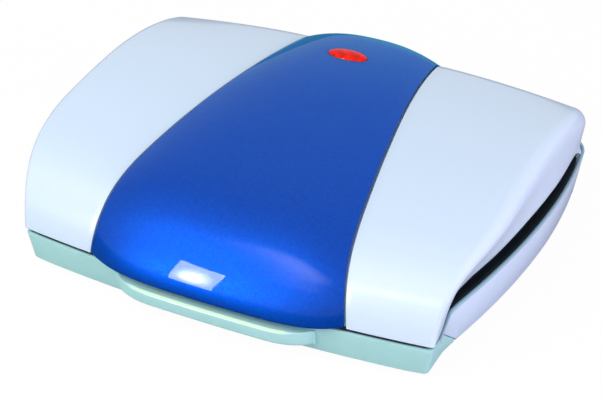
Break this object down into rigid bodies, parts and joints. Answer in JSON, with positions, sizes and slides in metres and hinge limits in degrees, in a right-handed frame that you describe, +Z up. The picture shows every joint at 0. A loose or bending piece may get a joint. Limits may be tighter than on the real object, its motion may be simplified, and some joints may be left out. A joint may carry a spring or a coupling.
{
  "type": "sandwich toaster",
  "caption": "Clamshell sandwich toaster with a domed hinged lid, bright front handle ledge, pilot lamp and non-stick pocket plates.",
  "frame": {"origin": "on the table under the feet, at the middle of the overall width and depth", "axes": "+X to the right seen from the front, +Y from the handle towards the hinges, +Z up"},
  "size_m": [0.2628, 0.2264, 0.082],
  "materials": {
    "white_shell": "pearl gloss",
    "blue_panel": "metallic lacquer",
    "silver_trim": "satin silver paint",
    "nonstick_plate": "matt non-stick coating",
    "red_lens": "translucent gloss",
    "base_plastic": "fine texture",
    "foot_rubber": "matt",
    "steel": "brushed",
    "heater_sheath": "heat-tinted",
    "reflector": "bright sheet",
    "dark_plastic": "matt",
    "insulator": "matt",
    "lamp_glass": "clear glow lamp"
  },
  "bodies": {
    "base": {"base_shell": "white_shell", "base_bezel": "silver_trim", "front_handle": "silver_trim", "base_floor": "base_plastic", "foot_front_left": "foot_rubber", "foot_front_right": "foot_rubber", "foot_rear_left": "foot_rubber", "foot_rear_right": "foot_rubber", "floor_screws": "steel", "rear_deck": "base_plastic", "plate_pillars": "steel", "lower_plate": "nonstick_plate", "lower_heater": "heater_sheath", "lower_heater_clips": "steel", "lower_reflector": "reflector", "thermostat": "insulator", "terminal_block": "insulator", "cord_gland": "dark_plastic", "cord_clamp": "insulator", "base_hinge_left": "white_shell", "base_hinge_right": "white_shell", "hinge_pin_left": "steel", "hinge_pin_right": "steel"},
    "lid": {"lid_hinge_left": "white_shell", "lid_hinge_right": "white_shell", "lid_shell": "white_shell", "lid_center_panel": "blue_panel", "lamp_lens": "red_lens", "lamp_holder": "dark_plastic", "neon_lamp": "lamp_glass", "upper_plate": "nonstick_plate", "upper_posts": "steel", "upper_heater": "heater_sheath", "upper_heater_clips": "steel", "upper_reflector": "reflector", "thermal_fuse": "insulator"}
  },
  "joints": [
    {"name": "lid_hinge", "type": "hinge", "parent": "base", "child": "lid", "pos_m": [0, 0.1077, 0.0378], "axis": [-1, 0, 0], "range_deg": [0, 100]}
  ]
}
